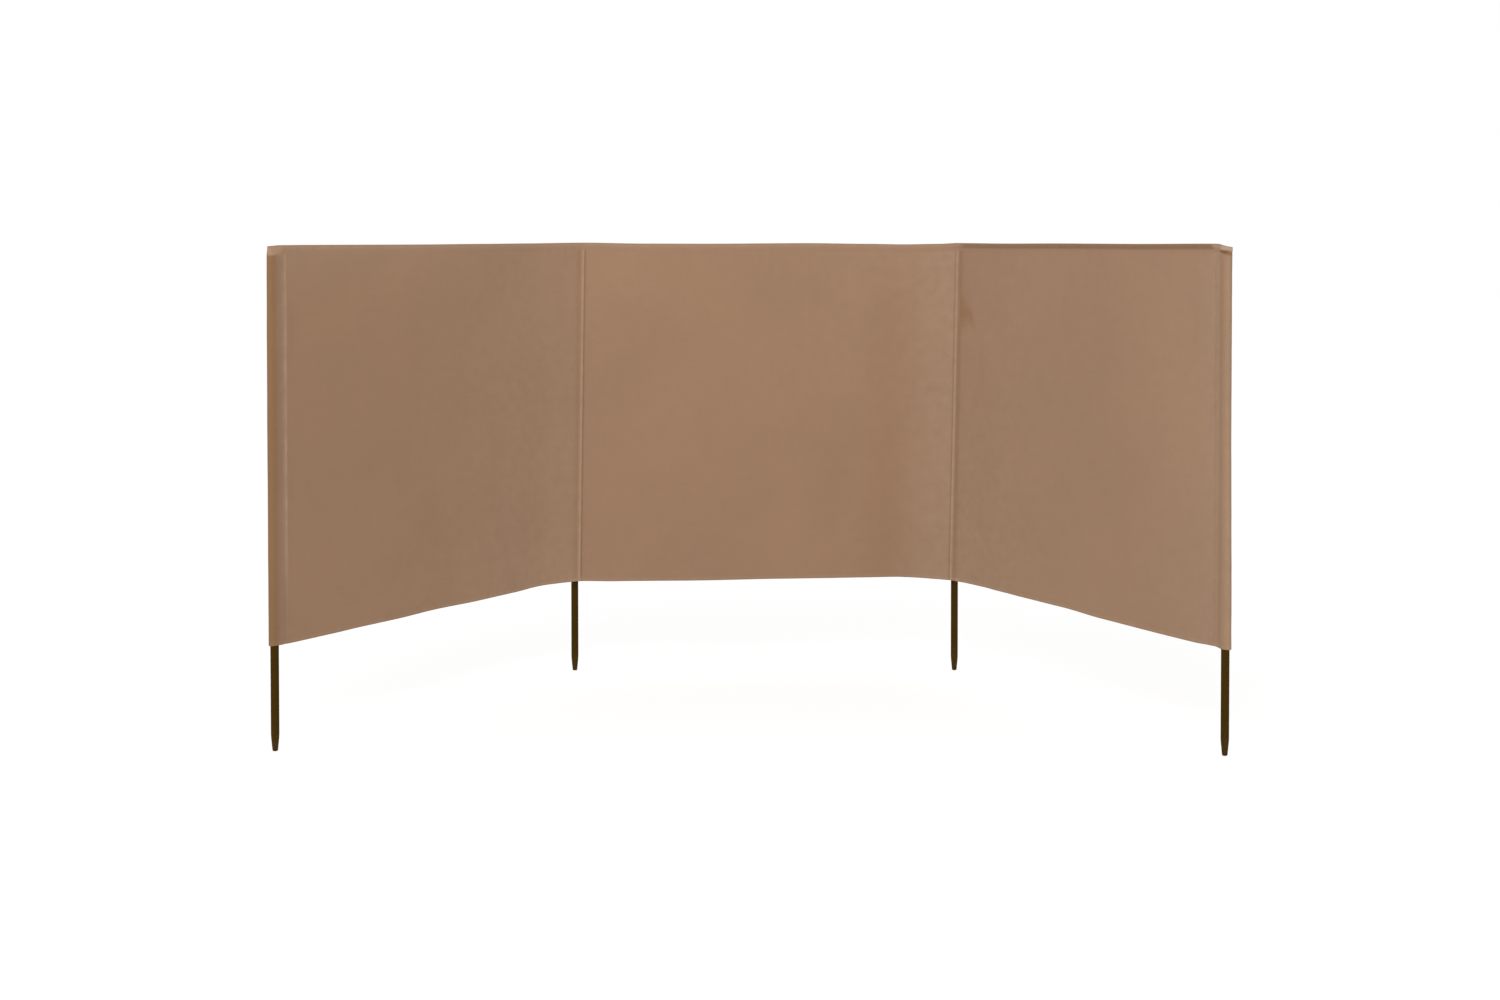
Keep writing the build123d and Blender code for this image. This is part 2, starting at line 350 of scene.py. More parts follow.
# the cloth of the bays: edges as (share along, mm up), swing of the lower edge as (share along, mm to
# the rear), lean of the upper hem in degrees, painted light towards the upper and the lower edge, patches of
# painted shade, and folds
bayCloth = {
    "left": {
        "seed": 11,
        "topEdge": [(0, 0.6), (0.1, 1.2), (0.45, 1.2), (0.68, 2.6), (0.82, 3.6), (1, 5.8)],
        "bottomEdge": [
            (0, -4.6), (0.05, -5.2), (0.1, -5.0), (0.165, -4.4), (0.255, -2.8), (0.38, -3.2), (0.51, 0.0),
            (0.645, -2.0), (0.787, -0.8), (0.9, 4.8), (0.955, 4.8), (1, 4.0)],
        "swing": [(0, 0), (0.25, -6), (0.6, 0), (0.88, 9), (1, 0)],
        "topLean": [(0, 0), (0.1, -7), (1, -9)],
        "paintedBroadLight": (
            [(0, 0), (0.55, 0), (0.8, 0.22), (1, 0.15)],
            [(0, 0), (0.5, 0.08), (0.8, 0.42), (1, 0.35)]),
        "shadePatches": [(0, 0.2), (0.35, 0.18), (0.65, 0.04), (1, 0)],
        "folds": [
            (0.22, 1.02, 28, 0.30, 0.075, 3.2), (0.62, 0.86, -14, 0.36, 0.10, -3.4),
            (0.95, 1.02, 34, 0.24, 0.07, 2.6), (0.45, 0.52, 12, 0.40, 0.11, 3.4),
            (0.9, 0.42, -24, 0.30, 0.08, -2.4), (0.4, 0.18, 16, 0.36, 0.08, -2.8),
            (1.05, 0.14, 20, 0.22, 0.06, 2.2)],
    },
    "middle": {
        "seed": 23,
        "topEdge": [
            (0, 5.8), (0.16, 2.6), (0.33, 2.0), (0.6, 4.0), (0.76, 1.6), (0.86, -0.4), (0.95, 1.6),
            (1, 4.6)],
        "bottomEdge": [
            (0, 4.0), (0.1, 1.4), (0.32, 0.2), (0.55, 2.2), (0.78, 3.4), (0.88, 5.2), (0.94, 6.0),
            (1, 7.2)],
        "swing": [(0, 0), (0.3, -4), (0.6, 6), (0.86, 24), (1, 0)],
        "topLean": [(0, -9), (0.9, -6), (1, 0)],
        "paintedBroadLight": (
            [(0, 0.12), (0.3, 0), (0.55, 0.08), (0.85, 0.26), (1, 0.55)],
            [(0, 0), (0.8, 0), (1, 0.45)]),
        "shadePatches": [(0, 0), (0.72, 0), (0.83, 0.13), (0.94, 0), (1, 0)],
        "folds": [
            (0.25, 0.98, -26, 0.34, 0.08, -2.8), (0.62, 0.92, 22, 0.40, 0.10, 3.4),
            (0.58, 0.55, 30, 0.42, 0.10, -3.6), (1.02, 0.62, 76, 0.40, 0.07, 3.0),
            (0.3, 0.30, -12, 0.40, 0.11, 3.0), (0.9, 0.20, 66, 0.26, 0.06, 3.0),
            (1.22, 0.98, -58, 0.22, 0.05, -2.4)],
    },
    "right": {
        "seed": 37,
        "topEdge": [(0, 4.6), (0.2, 3.4), (0.42, 4.4), (0.7, 3.8), (0.95, 5.4), (1, 5.4)],
        "bottomEdge": [
            (0, 7.2), (0.05, 8.4), (0.12, 7.6), (0.2, 5.4), (0.28, 4.0), (0.43, 3.0), (0.585, -2.6),
            (0.75, -3.6), (0.9, -4.0), (0.955, -1.4), (1, -0.6)],
        "swing": [(0, 0), (0.12, 6), (0.45, 0), (0.8, -5), (1, 0)],
        "topLean": [(0, 0), (0.03, 22), (0.5, 34), (0.9, 42), (0.953, 40), (0.968, 0)],
        "paintedBroadLight": (
            [(0, 0.1), (0.3, 0.08), (0.6, 0), (0.87, 0.1), (1, 0.4)],
            [(0, 0.5), (0.15, 0.4), (0.45, 0.12), (0.7, 0.04), (0.88, 0.16), (1, 0.42)]),
        "shadePatches": [(0, 0), (1, 0)],
        "pucker": {               # painted shade of a pucker beside the seam: heights it fades over, reach along in mm
            "shade": 0.68,
            "low": (0.88, 0.965),
            "high": (1.03, 1.0),
            "reach": [(0.9, 96), (1.02, 38)],
            "blur": 14 * mm,
            "fromSeam": (14 * mm, 24 * mm),
        },
        "folds": [
            (0.062, 0.962, 117, 0.055, 0.015, 6.0), (0.2, 0.90, -30, 0.20, 0.06, 2.6),
            (0.55, 0.98, 82, 0.20, 0.05, 2.0), (0.78, 1.0, 84, 0.24, 0.05, -2.2),
            (0.72, 0.66, 70, 0.24, 0.09, 3.2), (0.5, 0.45, 18, 0.34, 0.10, -3.0),
            (0.95, 0.30, 62, 0.26, 0.08, -2.6), (0.35, 0.16, -20, 0.30, 0.07, 2.4)],
    },
}
clothMake = {
    "columns": (2.6 * mm, 9 * mm, 90 * mm),   # fine, coarse and reach
    "smoothAngle": 70,
    "unevenness": 0.9 * mm,
    "hemUnevenness": 0.25,      # share of it that is left at the hems
    "hemReach": 50 * mm,
    "openReach": 100 * mm,      # distance from a bay's end at which the cloth hangs free
    "waves": (14, 0.16, 0.62),  # how many, shortest, longest
    "crumples": (10, 0.05, 0.28),
    "swingPower": 1.4,
    "foldsFrom": (4 * mm, 24 * mm),
    "ripple": 0.7 * mm,
    "rippleReach": 16 * mm,
    "rippleFrom": 30 * mm,
    "uprightFrom": (2 * mm, 14 * mm),
    "ripples": (22 * mm, 40 * mm),
}
# the ridge at each seam in front: (across the seam away from the middle bay, forward), in mm
seamRidge = {
    "reach": 14 * mm,
    "profile": [
        (-14, 0), (-10, -0.2), (-7, -0.8), (-4.6, -0.3), (-2.6, 1.7), (0.5, 2.4), (4, 1.8), (7.5, 0.6),
        (11, 0.1), (14, 0)],
    "columns": [-12.4, -10.4, -8.6, -7.0, -5.8, -4.6, -3.5, -2.4, -1.2, 0.2, 1.8, 3.6, 5.4, 7.4, 9.6, 12.0],
    "split": 3,          # the cloth pieces meet in the groove beside the ridge
    "fineness": 120,
    "outerStitch": 9.6 * mm,
    "innerStitch": 10.4 * mm,
    "fadeTop": (20 * mm, 30 * mm),
    "fadeBottom": (13 * mm, 20 * mm),
}
seamOrder = {"left": ("left", "middle"), "right": ("middle", "right")}


def bayFields(look, length):
    rng = np.random.default_rng(look["seed"])
    return {
        "uneven": longWaves(rng, *clothMake["waves"]),
        "top": stitchRipple(rng, length, *clothMake["ripples"]),
        "low": stitchRipple(rng, length, *clothMake["ripples"]),
        "side": stitchRipple(rng, clothHeight, *clothMake["ripples"]),
        "crumple": longWaves(rng, *clothMake["crumples"]),
    }


fields = {name: bayFields(look, lines[name]["length"]) for name, look in bayCloth.items()}
bayEnds = {
    "left": (leftSleeve["rings"][0][1][-1][0] * mm, lines["left"]["length"]),
    "middle": (0.0, lines["middle"]["length"]),
    "right": (0.0, lines["right"]["length"] - rightSleeve["rings"][0][1][0][0] * mm),
}


def inBay(name, along, rear, z):
    # a point of a bay, with its bow, the swing of its lower edge and the lean of its seams
    line = lines[name]
    share = np.clip(along / line["length"], 0, 1)
    low = np.clip((clothTop - z) / clothHeight, 0, 1)
    swing = easedThrough(bayCloth[name]["swing"], share) * mm * low ** clothMake["swingPower"]
    rear = rear + bowAt(line, along) + swing
    place = line["start"] + along[..., None] * line["direction"] + rear[..., None] * line["rear"]
    if name == "left":
        place[..., 0] += leanAt("left", z) * share
    elif name == "right":
        place[..., 0] += leanAt("right", z) * (1 - share)
    else:
        place[..., 0] += leanAt("left", z) * (1 - share) + leanAt("right", z) * share
    return place


def panelPlan(name, along, z):
    # open cloth of a bay: soft folds, long waves, and ripples along its stitch rows
    field = fields[name]
    first, last = bayEnds[name]
    along = np.broadcast_to(along, z.shape)
    up = z - clothBottom
    toEnd = np.minimum(along - first, last - along)
    openShare = smoothStep(toEnd, 0, clothMake["openReach"])
    calm, hemReach = clothMake["hemUnevenness"], clothMake["hemReach"]
    inside = calm + (1 - calm) * smoothStep(clothTop - z, 0, hemReach) * smoothStep(up, 0, hemReach)
    rear = clothMake["unevenness"] * field["uneven"](along, up) * openShare * inside
    rear = rear + foldDepth(bayCloth[name]["folds"], along, up) * smoothStep(toEnd, *clothMake["foldsFrom"])
    reach = clothMake["rippleReach"]
    fromTop = np.abs(clothTop - hem["topDepth"] - z)
    fromLow = np.abs(clothBottom + hem["bottomDepth"] - z)
    ripple = field["top"](along) * np.exp(-fromTop / reach) + field["low"](along) * np.exp(-fromLow / reach)
    ripple = ripple * smoothStep(toEnd, 0, clothMake["rippleFrom"])
    upright = field["side"](up) * np.exp(-toEnd / reach)
    ripple = ripple + upright * smoothStep(toEnd, *clothMake["uprightFrom"])
    return inBay(name, along, rear + clothMake["ripple"] * ripple, z)


def edgeHeights(name, share):
    look = bayCloth[name]
    lean = np.radians(easedThrough(look["topLean"], share))
    top = clothTop + easedThrough(look["topEdge"], share) * mm + hem["leanFrom"] * (1 - np.cos(lean))
    return top, clothBottom + easedThrough(look["bottomEdge"], share) * mm, lean


def panelColumns(name):
    first, last = bayEnds[name]
    first = max(first, seamRidge["reach"])
    last = min(last, lines[name]["length"] - seamRidge["reach"])
    along = first + gradedSteps(last - first, *clothMake["columns"])
    top, bottom, lean = edgeHeights(name, along / lines[name]["length"])
    z = rowHeights(top, bottom)
    return {
        "kind": "panel", "bay": name, "z": z, "plan": panelPlan(name, along, z), "lean": lean,
        "mark": along, "ridge": 0 * along, "hemShare": np.ones(len(along)),
    }


def seamColumns(side):
    # the crease between two bays, rounded, with the sewn ridge on its front
    before, after = seamOrder[side]
    across = np.array(seamRidge["columns"]) * mm
    profile = seamRidge["profile"]
    steps = np.linspace(0, len(profile) - 1, seamRidge["fineness"])
    ridge = ringPlaces([(0, profile), (1, profile)], steps, np.zeros((1, len(steps))))[0]
    height = np.interp(across, ridge[:, 0], ridge[:, 1])
    if side == "left":
        across, height = -across[::-1], height[::-1]
    top, bottom, lean = edgeHeights(before, np.ones(len(across)))
    z = rowHeights(top, bottom)
    reach = seamRidge["reach"]
    start = inBay(before, np.full(z.shape, lines[before]["length"] - reach), 0 * z, z)
    end = inBay(after, np.full(z.shape, reach), 0 * z, z)
    corner = seamAxes[side] + np.zeros(z.shape + (2,))
    corner[..., 0] += leanAt(side, z)
    share = ((across + reach) / (2 * reach))[None, :, None]
    plan = (1 - share) ** 2 * start + 2 * share * (1 - share) * corner + share ** 2 * end
    return {
        "kind": "seam", "bay": side, "z": z, "plan": plan, "lean": lean,
        "mark": across, "ridge": height, "hemShare": np.ones(len(across)),
    }


def ringColumns(rings):
    spans = len(rings[0][1]) - 1
    return np.linspace(0, spans, spans * sleeveGrid["perSpan"] + 1)


def pressedShut(z, top, slope):
    # heights to read the rings at, so that a sloped top closes as a level one does
    return z + slope * smoothStep(z, top - sleeveGrid["closedOver"], top)


def thinnedHem(columns, turn, share):
    # a hem has little room in the tight turn past the pole
    tight = smoothStep(np.abs(columns - turn), *sleeveGrid["tightReach"])
    return share * (1 - tight) + sleeveGrid["turnShare"] * tight


def sleeveColumns(name, sleeve):
    line = lines[name]
    onLeft = name == "left"
    columns = ringColumns(sleeve["rings"])
    columns = columns[:-1] if onLeft else columns[1:]
    ring = sleeve["rings"][2][1]
    fromPole = np.interp(columns, np.arange(len(ring)), [place[0] * mm for place in ring])
    share = fromPole / line["length"] if onLeft else 1 - fromPole / line["length"]
    onFront = columns > sleeve["turn"] if onLeft else columns < sleeve["turn"]
    top, bottom, lean = edgeHeights(name, np.clip(share, 0, 1))
    edge = -1 if onLeft else 0
    lean = lean * onFront
    level = top[edge] - hem["leanFrom"] * (1 - np.cos(lean[edge]))
    slope = sleeve["topSlope"] * smoothStep(-fromPole, -sleeve["slopeFrom"], sleeve["outermost"])
    top = level + hem["leanFrom"] * (1 - np.cos(lean)) - slope
    bottom = bottom[edge] + easedThrough(sleeve["bottomShift"], fromPole / mm) * mm
    z = rowHeights(top, bottom)
    local = ringPlaces(sleeve["rings"], columns, pressedShut(z, top, slope))
    middleRow = local[rowCount // 2]
    wayRound = np.cumsum(np.hypot(np.gradient(middleRow[:, 0]), np.gradient(middleRow[:, 1])))
    loose = smoothStep(np.abs(local[..., 1]), *sleeveGrid["loose"])
    crumple = fields[name]["crumple"](wayRound * sleeveGrid["crumpleStretch"], z - clothBottom)
    rear = local[..., 1] + sleeveGrid["crumple"] * crumple * loose
    along = local[..., 0] if onLeft else line["length"] - local[..., 0]
    beyond = columns > sleeve["front"] if onLeft else columns < sleeve["front"]
    joined = smoothStep(np.abs(columns - sleeve["front"]), sleeveGrid["joinReach"], 0) * onFront + beyond
    share = sleeveGrid["hemShare"] + (1 - sleeveGrid["hemShare"]) * np.clip(joined, 0, 1)
    return {
        "kind": "sleeve", "bay": name, "z": z, "plan": inBay(name, along, rear, z), "lean": lean,
        "mark": columns, "ridge": 0 * columns, "hemShare": thinnedHem(columns, sleeve["turn"], share),
    }


def clothPoints(plan, rearward, z):
    # to the rear is left of the way the columns run, round the sleeves too
    step = np.gradient(plan, axis=1)
    step /= np.linalg.norm(step, axis=2, keepdims=True)
    inward = np.stack([-step[..., 1], step[..., 0]], axis=2)
    place = plan + inward * rearward[..., None]
    flat = np.concatenate([inward, 0 * z[..., None]], axis=2)
    return np.concatenate([place, z[..., None]], axis=2), flat


def flatLay(points):
    # how far along and down the flat cloth each point lies, in metres
    stepAcross = np.linalg.norm(np.diff(points[rowCount // 2], axis=0), axis=1)
    stepDown = np.linalg.norm(np.diff(points[:, points.shape[1] // 2], axis=0), axis=1)
    across = np.concatenate([[0], np.cumsum(stepAcross)])[None, :]
    down = -np.concatenate([[0], np.cumsum(stepDown)])[:, None]
    return np.broadcast_to(across, points.shape[:2]), np.broadcast_to(down, points.shape[:2])


def clothObject(name, points, lay, shade, paintedLight):
    # a grid shaped into the cloth, with its flat lay as UV
    rows, cols = points.shape[:2]
    deselectAll()
    bpy.ops.mesh.primitive_grid_add(
        x_subdivisions=cols - 1, y_subdivisions=rows - 1, size=1, location=(0, 0, 0))
    piece = bpy.context.object
    piece.name = name
    mesh = piece.data
    mesh.name = name
    place = np.empty(len(mesh.vertices) * 3)
    mesh.vertices.foreach_get("co", place)
    place = place.reshape(-1, 3)
    col = np.rint((place[:, 0] + 0.5) * (cols - 1)).astype(int)
    row = np.rint((0.5 - place[:, 1]) * (rows - 1)).astype(int)
    mesh.vertices.foreach_set("co", points[row, col].ravel())
    corner = np.empty(len(mesh.loops), int)
    mesh.loops.foreach_get("vertex_index", corner)
    spread = np.column_stack([lay[0][row, col], lay[1][row, col]])
    mesh.uv_layers.active.data.foreach_set("uv", spread[corner].ravel())
    # the two attributes carry painted shade and painted light
    for label, values in (("shade", shade), ("paintedLight", paintedLight)):
        attribute = mesh.attributes.new(label, "FLOAT", "POINT")
        attribute.data.foreach_set("value", values[row, col].astype(np.float32))
    mesh.update()
    pickOnly(piece)
    bpy.ops.object.shade_smooth()
    applyModifier(piece, "SOLIDIFY", thickness=clothThickness, offset=0, use_even_offset=False)
    bpy.ops.object.shade_smooth_by_angle(angle=math.radians(clothMake["smoothAngle"]))
    return piece


# one run of cloth from the left sleeve to the right one
runs = {
    "leftSleeve": sleeveColumns("left", leftSleeve),
    "leftPanel": panelColumns("left"),
    "leftSeam": seamColumns("left"),
    "middlePanel": panelColumns("middle"),
    "rightSeam": seamColumns("right"),
    "rightPanel": panelColumns("right"),
    "rightSleeve": sleeveColumns("right", rightSleeve),
}
ends = np.cumsum([len(run["mark"]) for run in runs.values()])
starts = dict(zip(runs, [0, *ends]))


def wholeRun(key):
    return np.concatenate([run[key] for run in runs.values()], axis=1 if key in ("z", "plan") else 0)


z = wholeRun("z")
lean = wholeRun("lean")
columnTop = z[hem["fold"]].copy()
columnBottom = z[rowCount - 1 - hem["fold"]].copy()
above = np.clip(z - (columnTop - hem["leanFrom"]), 0, None)
ridgeShown = smoothStep(columnTop - z, *seamRidge["fadeTop"])
ridgeShown = ridgeShown * smoothStep(z - columnBottom, *seamRidge["fadeBottom"])
rearward = rowRear[:, None] * wholeRun("hemShare")
rearward = rearward - above * np.sin(lean) - wholeRun("ridge") * ridgeShown
z = z - above * (1 - np.cos(lean))
clothGrid, clothInward = clothPoints(wholeRun("plan"), rearward, z)
columnTop = z[hem["fold"]]
clothLay = flatLay(clothGrid)

# painted light and shade on the cloth: paler on hem folds, ridges, facets and broad patches, darker in
# grooves, under lips, over broad patches and where a pole lies behind;
# bands are (strength, middle, width), the other pairs are where a tone fades from and to
paintedTone = {
    "topHighlight": (0.45, 7 * mm, 4.5 * mm),
    "bottomHighlight": (0.4, 6 * mm, 4.5 * mm),
    "topShade": (0.35, 0, 1.6 * mm),
    "bottomShade": (0.3, 0, 1.6 * mm),
    "belowHem": (22 * mm, 32 * mm),
    "shadePatchFrom": (-0.06, 0.2),
    "poleHighlight": (1.1, 9 * mm),
    "poleHighlightUp": (1, 6 * mm, 5 * mm),
}
seamPaintedTone = {
    "ridge": (0.85, 1.2 * mm, 4.0 * mm),
    "groove": (0.5, -6.0 * mm, 3.2 * mm),
    "shadow": {"left": 0.22, "right": 0.42},
    "shadowFrom": (5 * mm, 11 * mm),
    "shadowEnd": {"left": (34 * mm, 16 * mm), "right": (40 * mm, 18 * mm)},
}
rightHemPaintedShade = {
    "along": (8 * mm, 60 * mm),
    "lessLight": 0.9,
    "lessLightOver": (22 * mm, 18 * mm),
    "shadeOver": (19 * mm, 15 * mm),
    "shade": 0.2,
    "moreShade": 0.36,
    "moreOver": (4 * mm, 15 * mm),
}
leftSleevePaintedTone = {
    "ridges": [(1.2, 15.2, 0.5), (0.6, 14.2, 0.7)],
    "ridgeFade": (0.92, 0.75),
    "topHighlight": 0.5,
    "topFrom": (8.0, 8.8),
    "topTo": (15.6, 13),
    "shadeFrom": (7.5, 8.5),
    "shadeTo": (12.9, 10.4),
    "shadePatchAt": (15.3, 16),
}
rightSleevePaintedTone = {
    "facetFrom": (2.5, 5.0),
    "facetTo": (10.5, 9.5),
    "lipHighlight": 1.8,
    "lipOver": (13 * mm, 9 * mm),
    "underLip": (1.3, 19 * mm, 4.5 * mm),
    "groove": (0.05, 6.0, 1.4),
    "flankLight": 0.45,
    "flankOver": (4.4, 3.0),
    "paleLine": (0.4, 9.1, 0.8),
}
fromTop = columnTop - z
fromBottom = z - columnBottom


def band(value, strength, middle, width):
    return strength * np.exp(-(((value - middle) / width) ** 2))


def paintedBroadLight(name, share, low):
    # painted light: how much paler a bay is painted, by share along it and from its upper to its lower edge
    upper, lower = bayCloth[name]["paintedBroadLight"]
    return easedThrough(upper, share) * (1 - low) + easedThrough(lower, share) * low


# painted highlight just inside the hem folds, painted shade along their very edges
paintedLight = band(fromTop, *paintedTone["topHighlight"]) + band(fromBottom, *paintedTone["bottomHighlight"])
shade = band(fromTop, *paintedTone["topShade"]) + band(fromBottom, *paintedTone["bottomShade"])
for label, run in runs.items():
    part = slice(starts[label], starts[label] + len(run["mark"]))
    paintedLightHere, shadeHere, down = paintedLight[:, part], shade[:, part], fromTop[:, part]
    mark, bay = run["mark"], run["bay"]
    look = bayCloth[bay]
    below = smoothStep(down, *paintedTone["belowHem"])
    low = np.clip((clothTop - z[:, part]) / clothHeight, 0, 1)
    shadePatchMask = below * smoothStep(low, *paintedTone["shadePatchFrom"])
    if run["kind"] == "seam":
        before, after = seamOrder[bay]
        outward = -mark if bay == "left" else mark
        # painted highlight on the ridge, painted shade in the groove and beside the ridge, and the bays'
        # painted broad light
        paintedLightHere += band(outward, *seamPaintedTone["ridge"]) * below
        paintedLightHere += np.where(mark < 0, paintedBroadLight(before, 1.0, low), paintedBroadLight(after, 0.0, low)) * below
        shadeHere += band(outward, *seamPaintedTone["groove"]) * below
        shadeHere += seamPaintedTone["shadow"][bay] * smoothStep(outward, *seamPaintedTone["shadowFrom"]) * below
    elif run["kind"] == "panel":
        length = lines[bay]["length"]
        # painted broad light of the bay
        paintedLightHere += paintedBroadLight(bay, mark / length, low) * below
        # painted shade over broad patches of the bay
        shadeHere += easedThrough(look["shadePatches"], mark / length) * shadePatchMask
        if bay != "middle":
            fromSeam = length - mark if bay == "left" else mark
            cast = seamPaintedTone["shadow"][bay] * smoothStep(fromSeam, *seamPaintedTone["shadowEnd"][bay])
            shadeHere += cast * below
        if bay == "right":
            # painted shade of the pucker beside the right seam
            pucker = look["pucker"]
            up = z[:, part] - clothBottom
            reach = easedThrough(pucker["reach"], up) * mm
            inside = smoothStep(mark, reach + pucker["blur"], reach - pucker["blur"])
            inside = inside * smoothStep(mark, *pucker["fromSeam"])
            inside = inside * smoothStep(up, *pucker["low"]) * smoothStep(up, *pucker["high"])
            shadeHere += np.clip(pucker["shade"] - shadeHere, 0, None) * inside
            # painted shade on the forward-leaning upper hem of the right bay, with less painted light there
            tone = rightHemPaintedShade
            into = smoothStep(mark, *tone["along"])
            paintedLightHere *= 1 - tone["lessLight"] * into * smoothStep(down, *tone["lessLightOver"])
            deeper = tone["shade"] + tone["moreShade"] * smoothStep(down, *tone["moreOver"])
            shadeHere += smoothStep(down, *tone["shadeOver"]) * into * deeper
    elif bay == "left":
        # painted highlight on the sewn ridge and the top facet, painted shade where the pole lies behind the
        # sleeve
        tone = leftSleevePaintedTone
        ridge = sum(band(mark, *place) for place in tone["ridges"])
        paintedLightHere += ridge * below * smoothStep(low, *tone["ridgeFade"])
        onTop = smoothStep(mark, *tone["topFrom"]) * smoothStep(mark, *tone["topTo"])
        paintedLightHere += tone["topHighlight"] * onTop * (1 - below)
        shadeHere += smoothStep(mark, *tone["shadeFrom"]) * smoothStep(mark, *tone["shadeTo"]) * below
        shadeHere += look["shadePatches"][0][1] * smoothStep(mark, *tone["shadePatchAt"]) * shadePatchMask
    else:
        # painted highlight on the lip's facet, the flank and a pale line, painted shade under the lip and in
        # the groove
        tone = rightSleevePaintedTone
        facet = smoothStep(mark, *tone["facetFrom"]) * smoothStep(mark, *tone["facetTo"])
        paintedLightHere += tone["lipHighlight"] * facet * smoothStep(down, *tone["lipOver"])
        shadeHere += facet * band(down, *tone["underLip"])
        shadeHere += band(mark, *tone["groove"]) * below
        flankLight = tone["flankLight"] * smoothStep(mark, *tone["flankOver"])
        paintedLightHere += (flankLight + band(mark, *tone["paleLine"])) * below
for side in ("left_inner", "right_inner"):
    # painted highlight on the lower hem where an inner pole comes out behind it
    strength, width = paintedTone["poleHighlight"]
    atPole = band(clothGrid[..., 0], strength, poleAxes[side][0], width)
    paintedLight += atPole * band(fromBottom, *paintedTone["poleHighlightUp"])
shade = np.clip(shade, 0, 1)
paintedLight = np.clip(paintedLight, 0, 2)

lastOfRidge = len(seamRidge["columns"]) - 1
leftCut = starts["leftSeam"] + lastOfRidge - seamRidge["split"]
cuts = [0, leftCut, starts["rightSeam"] + seamRidge["split"], ends[-1] - 1]
bayPieces = {}
for name, first, last in zip(bayCloth, cuts, cuts[1:]):
    part = slice(first, last + 1)
    lay = [way[:, part] for way in clothLay]
    bayPieces[name] = clothObject(f"{name}_cloth", clothGrid[:, part], lay, shade[:, part], paintedLight[:, part])
    print("cloth of the", name, "bay:", last - first + 1, "columns,", rowCount, "rows")

# inner tunnels, strips sewn on behind the seams: (from the pole's axis to the seam, aside), in mm
innerTunnel = {
    "halfRings": [
        (clothBottom - 6 * mm, [
            (33.4, 13), (31.6, 8.6), (29.6, 5.0), (25, 4.2), (19, 7.4), (12, 11.6), (4, 15.4), (-6, 15.2),
            (-13.8, 9.2), (-16.8, 0)]),
        (clothBottom + 45 * mm, [
            (36.2, 11.8), (34.2, 7.4), (31.4, 3.6), (26, 2.6), (19, 6.0), (12, 10.6), (4, 14.8), (-6, 14.8),
            (-13.8, 9.2), (-16.6, 0)]),
        (clothBottom + 0.55 * clothHeight, [
            (36.2, 11.8), (34.2, 7.4), (31.4, 3.4), (26, 2.4), (19, 5.6), (12, 10.2), (4, 14.6), (-6, 15.0),
            (-14.4, 9.6), (-17.6, 0)]),
        (neckHeight - 40 * mm, [
            (36.2, 11.8), (34.2, 7.4), (31.4, 3.6), (26, 2.6), (19, 5.8), (12, 10.2), (4, 14.4), (-6, 14.6),
            (-13.6, 9.2), (-16.6, 0)]),
        (neckHeight - 3 * mm, [
            (33.4, 13), (31.6, 8.6), (29.6, 5.0), (25, 4.0), (19, 6.6), (12, 10.2), (4, 14.0), (-6, 14.2),
            (-13.2, 9.0), (-16.4, 0)]),
        (clothTop - 5 * mm, [
            (33.4, 13), (31.6, 8.6), (29.0, 4.6), (24, 3.2), (17, 2.6), (9, 2.4), (0, 2.4), (-9, 2.4),
            (-17, 2.2), (-20.4, 0)]),
        (clothTop + 4 * mm, [
            (33.4, 13), (31.6, 8.6), (28.6, 3.6), (23, 1.8), (16, 1.4), (8, 1.2), (-1, 1.2), (-10, 1.2),
            (-17.4, 1.2), (-19.8, 0)]),
    ],
    "topSlope": 4 * mm,
    "levelPlaces": 2,       # ring places at each edge that stay level
    "topDrop": 1.2 * mm,    # a tunnel ends this far inside the cloth's edges
    "bottomRise": 0.8 * mm,
    "leanFrom": (4 * mm, 30 * mm),
    "topHem": (44 * mm, 26 * mm),
    "bottomHem": (38 * mm, 20 * mm),
    "flange": 13 * mm,      # sewn edges, with how far they lie behind the cloth and more behind its hems
    "flangeStep": 0.36,
    "sewn": (2.2, 1.0),
    "stitches": 0.6,        # ring places from each edge
    "behind": 1.1 * mm,
    "behindHem": 3.2 * mm,
    "edgeHighlight": (0.5, 4 * mm, 4 * mm),
}
tunnels = {}
